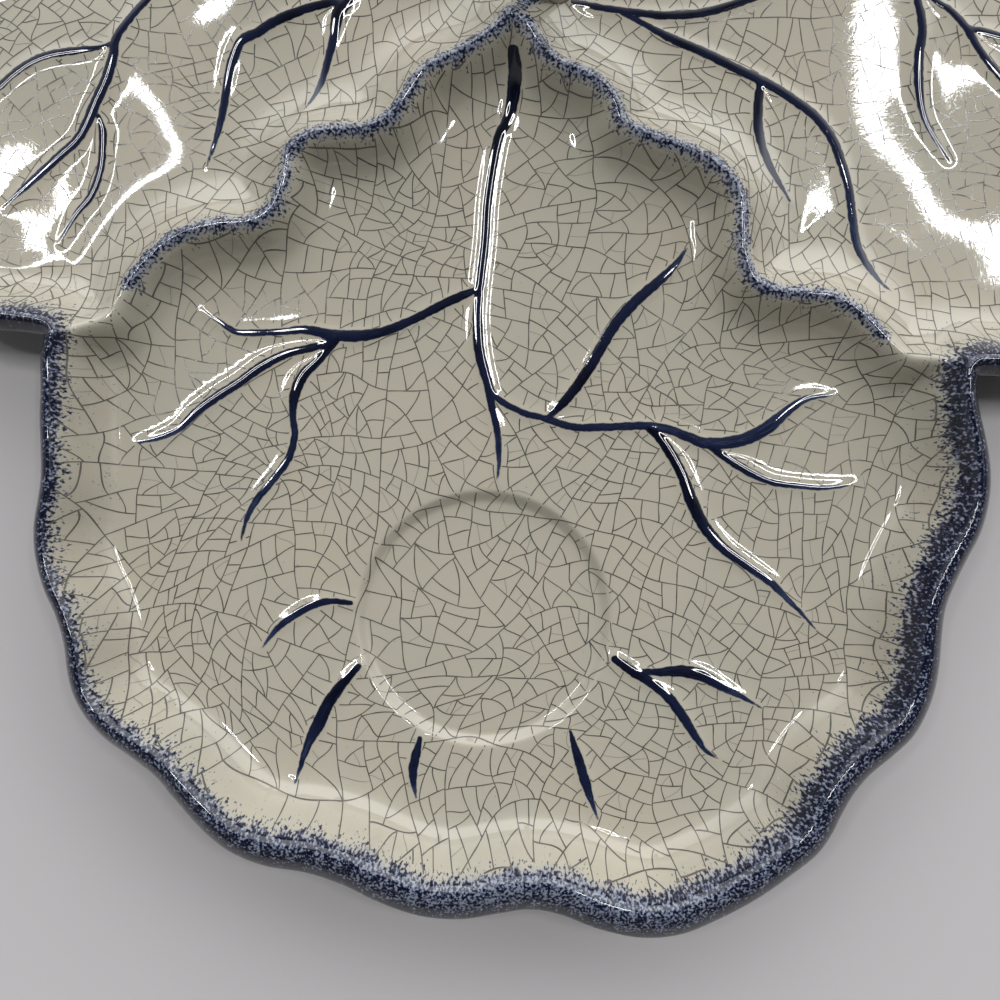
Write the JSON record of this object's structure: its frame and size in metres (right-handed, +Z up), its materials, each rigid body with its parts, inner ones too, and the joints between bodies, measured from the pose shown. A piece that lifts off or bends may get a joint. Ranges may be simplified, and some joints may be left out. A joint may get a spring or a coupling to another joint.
{
  "type": "chip and dip platter",
  "caption": "Leaf-shaped serving platter with scalloped rims, raised dividers, a round seat for a dip cup and a loop handle.",
  "frame": {"origin": "on the table, under the middle of the platter's outline", "axes": "+Z up; the front leaf, which holds the cup's seat, points to -Y; +X is on the viewer's right"},
  "size_m": [0.4152, 0.3704, 0.062],
  "materials": {
    "front_leaf_glaze": "glossy crackle glaze with a cobalt spattered rim and painted veins",
    "left_leaf_glaze": "glossy crackle glaze with a cobalt spattered rim and painted veins",
    "right_leaf_glaze": "glossy crackle glaze with a cobalt spattered rim and painted veins",
    "handle_glaze": "glossy crackle glaze with a painted stroke and cobalt spatter",
    "bare_clay": "unglazed matt biscuit"
  },
  "bodies": {
    "root": {"front_leaf_dish": "front_leaf_glaze", "left_leaf_dish": "left_leaf_glaze", "right_leaf_dish": "right_leaf_glaze", "loop_handle": "handle_glaze", "front_foot_ring": "bare_clay", "left_foot_ring": "bare_clay", "right_foot_ring": "bare_clay"}
  },
  "joints": []
}
